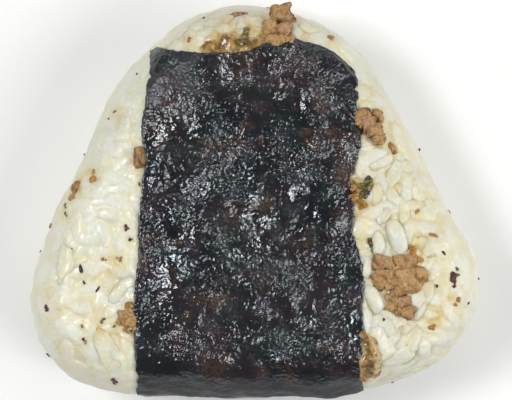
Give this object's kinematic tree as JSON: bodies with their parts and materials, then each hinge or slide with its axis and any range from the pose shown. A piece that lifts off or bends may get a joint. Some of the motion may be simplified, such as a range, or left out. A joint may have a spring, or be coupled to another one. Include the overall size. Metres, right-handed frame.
{
  "type": "onigiri rice ball",
  "caption": "Pressed triangular rice ball lying face up, with a moist nori strap folded round its base edge and lumps of browned mince in the rice.",
  "frame": {"origin": "centre of the bounding box in X and Y, on the flat back that the rice ball rests on", "axes": "+X to the right as the face is seen, +Y from the base edge towards the apex, +Z out of the face, so it lies on its back"},
  "size_m": [0.0806, 0.0704, 0.0304],
  "materials": {
    "rice": "cooked rice, pale cream, moist and slightly translucent",
    "nori": "moist seaweed sheet, near black, finely crinkled with small highlights",
    "mince": "browned meat crumbs, light brown and slightly moist"
  },
  "bodies": {
    "root": {"rice_block": "rice", "nori_strap": "nori", "mince_lower_right": "mince", "mince_right": "mince", "mince_apex": "mince", "mince_lower_left": "mince", "mince_base_right": "mince"}
  },
  "joints": []
}
